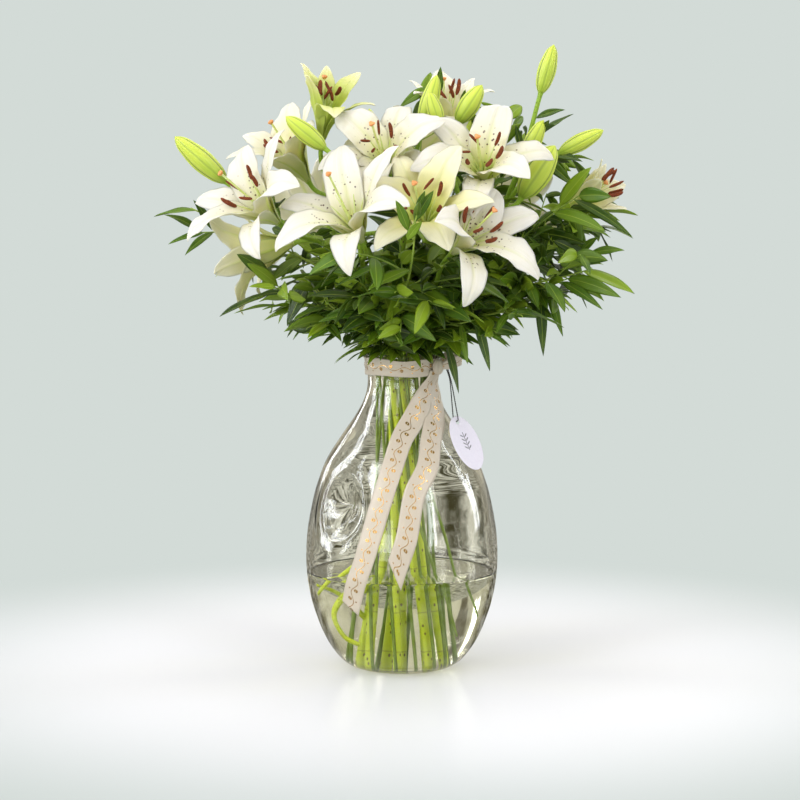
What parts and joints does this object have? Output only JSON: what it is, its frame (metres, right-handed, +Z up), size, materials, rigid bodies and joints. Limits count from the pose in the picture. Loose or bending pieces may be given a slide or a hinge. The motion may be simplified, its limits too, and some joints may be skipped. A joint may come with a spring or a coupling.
{
  "type": "lilies in a glass vase",
  "caption": "Bouquet of white lilies, green buds and glossy foliage standing in water in a dented pear-shaped glass vase, with a ribbon round the neck and an oval card tag on a string.",
  "frame": {"origin": "middle of the vase's flat foot, on the surface it stands on", "axes": "+Z up along the vase's axis, -Y the front of the bouquet, +X to its right"},
  "size_m": [0.515, 0.428, 0.656],
  "materials": {
    "glass": "clear, faintly smoky glass, polished",
    "water": "still clear water",
    "petal": "waxy ivory white petals, greener and speckled at the throat",
    "stamen": "powdery rust-brown anthers on pale green filaments, orange stigma",
    "stem": "smooth yellow-green stems and buds",
    "foliage": "glossy dark green leaves with a paler rib",
    "ribbon": "ivory satin, slightly sheer, with gold foil ornament",
    "card": "matt pale lilac card with a small dark sprig",
    "string": "thin dark cord"
  },
  "bodies": {
    "root": {"bloom_back_left": "petal", "bloom_back_middle": "petal", "bloom_back_right": "petal", "bloom_far_left": "petal", "bloom_far_right": "petal", "bloom_front_left": "petal", "bloom_front_right": "petal", "bloom_left": "petal", "bloom_low_left": "petal", "bloom_middle": "petal", "bloom_top_left": "petal", "bloom_top_middle": "petal", "bloom_upper_middle": "petal", "bloom_upper_right": "petal", "lily_stem_back": "stem", "lily_stem_back_left": "stem", "lily_stem_front_left": "stem", "lily_stem_front_right": "stem", "lily_stem_left": "stem", "lily_stem_middle": "stem", "lily_stem_right": "stem", "lily_stem_upper_right": "stem", "ribbon": "ribbon", "spray_back": "foliage", "spray_back_left": "foliage", "spray_back_right": "foliage", "spray_front": "foliage", "spray_front_high": "foliage", "spray_front_left": "foliage", "spray_front_right": "foliage", "spray_left": "foliage", "spray_low_left": "foliage", "spray_low_right": "foliage", "spray_lower_right": "foliage", "spray_right": "foliage", "spray_top_middle": "foliage", "spray_top_right": "foliage", "stamens_back_left": "stamen", "stamens_back_middle": "stamen", "stamens_back_right": "stamen", "stamens_far_left": "stamen", "stamens_far_right": "stamen", "stamens_front_left": "stamen", "stamens_front_right": "stamen", "stamens_left": "stamen", "stamens_low_left": "stamen", "stamens_middle": "stamen", "stamens_top_left": "stamen", "stamens_top_middle": "stamen", "stamens_upper_middle": "stamen", "stamens_upper_right": "stamen", "tag": "card", "tag_string": "string", "vase": "glass", "water": "water"}
  },
  "joints": []
}
